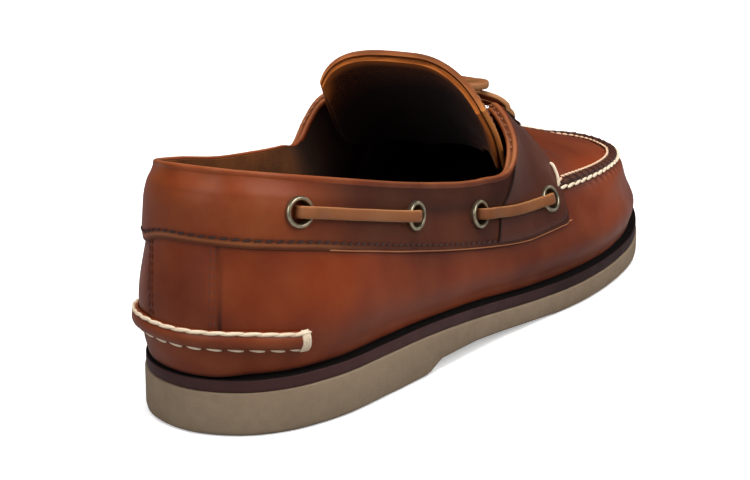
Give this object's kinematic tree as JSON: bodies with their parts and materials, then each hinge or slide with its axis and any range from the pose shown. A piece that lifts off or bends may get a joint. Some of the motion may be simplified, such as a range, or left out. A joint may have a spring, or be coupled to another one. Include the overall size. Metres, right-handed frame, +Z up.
{
  "type": "boat shoe",
  "caption": "Low leather boat shoe for the right foot: hand-sewn moccasin toe, quarter band with a rawhide lace through metal eyelets, stitched heel bar, leather tongue and a rubber wedge sole.",
  "frame": {"origin": "middle of the shoe's bounding box at floor level, the free lace not counted", "axes": "+Z up from the floor, -Y towards the toe, +Y towards the heel, +X towards the inner (medial) side of this right shoe"},
  "size_m": [0.1122, 0.3016, 0.0964],
  "materials": {
    "upper_leather": "oiled, soft sheen",
    "band_leather": "oiled, soft sheen",
    "rawhide_lace": "satin",
    "lining_suede": "matt suede",
    "antique_brass": "antique, worn bright on the rims",
    "midsole_board": "satin",
    "outsole_rubber": "matt, finely mottled"
  },
  "bodies": {
    "root": {"outsole": "outsole_rubber", "midsole": "midsole_board", "insole": "lining_suede", "upper": "upper_leather", "quarter_band": "band_leather", "moc_ridge": "upper_leather", "heel_kicker": "band_leather", "tongue": "upper_leather", "eyelet_lateral_1": "antique_brass", "eyelet_lateral_2": "antique_brass", "eyelet_lateral_3": "antique_brass", "eyelet_lateral_4": "antique_brass", "tie_eyelet_lateral_1": "antique_brass", "tie_eyelet_lateral_2": "antique_brass", "lace_bar_lateral_rear": "rawhide_lace", "lace_bar_lateral_front": "rawhide_lace", "lace_tie_lateral": "rawhide_lace", "lace_loop_lateral": "rawhide_lace", "lace_end_lateral": "rawhide_lace", "eyelet_medial_1": "antique_brass", "eyelet_medial_2": "antique_brass", "eyelet_medial_3": "antique_brass", "eyelet_medial_4": "antique_brass", "tie_eyelet_medial_1": "antique_brass", "tie_eyelet_medial_2": "antique_brass", "lace_bar_medial_rear": "rawhide_lace", "lace_bar_medial_front": "rawhide_lace", "lace_tie_medial": "rawhide_lace", "lace_loop_medial": "rawhide_lace", "lace_end_medial": "rawhide_lace", "lace_crossing": "rawhide_lace", "lace_knot": "rawhide_lace"}
  },
  "joints": []
}
